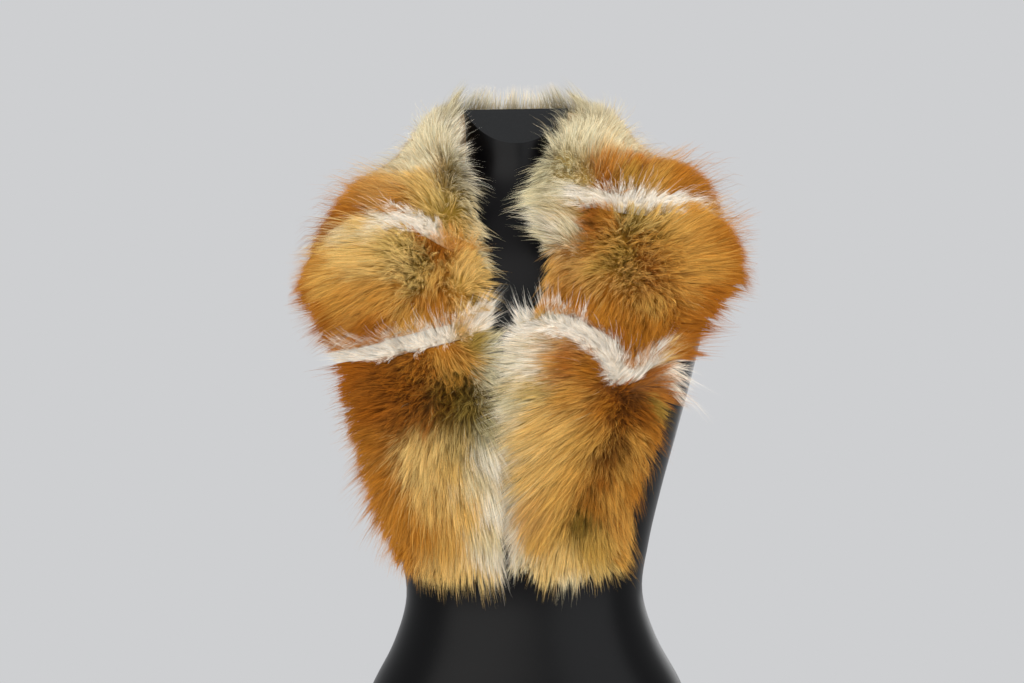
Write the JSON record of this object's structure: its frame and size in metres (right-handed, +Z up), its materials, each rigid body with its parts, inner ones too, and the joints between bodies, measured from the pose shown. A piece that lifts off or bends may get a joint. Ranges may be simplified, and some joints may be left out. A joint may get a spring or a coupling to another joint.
{
  "type": "fur collar wrap on a torso form",
  "caption": "Long fox-fur collar wrap, sewn from deep orange fur panels with white strips between them, worn round the neck and down the front of a smooth black limbless torso form.",
  "frame": {"origin": "middle of the torso form's flat base, on the surface it stands on", "axes": "+Z up along the form, -Y to the front, +X to the wearer's left"},
  "size_m": [0.4602, 0.298, 0.7504],
  "materials": {
    "fur_orange": "long orange and gold fox fur over tan leather",
    "fur_cream": "long cream fox fur with olive roots",
    "fur_white": "short dense white fox fur",
    "form_plastic": "smooth glossy black, matte on the slanted neck front"
  },
  "bodies": {
    "root": {"right_front_lower": "fur_orange", "right_strip_lower": "fur_white", "right_front_upper": "fur_orange", "right_strip_upper": "fur_white", "right_shoulder": "fur_orange", "right_strip_back": "fur_white", "back_collar": "fur_cream", "left_strip_back": "fur_white", "left_shoulder": "fur_orange", "left_strip_upper": "fur_white", "left_front_upper": "fur_orange", "left_strip_lower": "fur_white", "left_front_lower": "fur_orange", "torso_form": "form_plastic"}
  },
  "joints": []
}
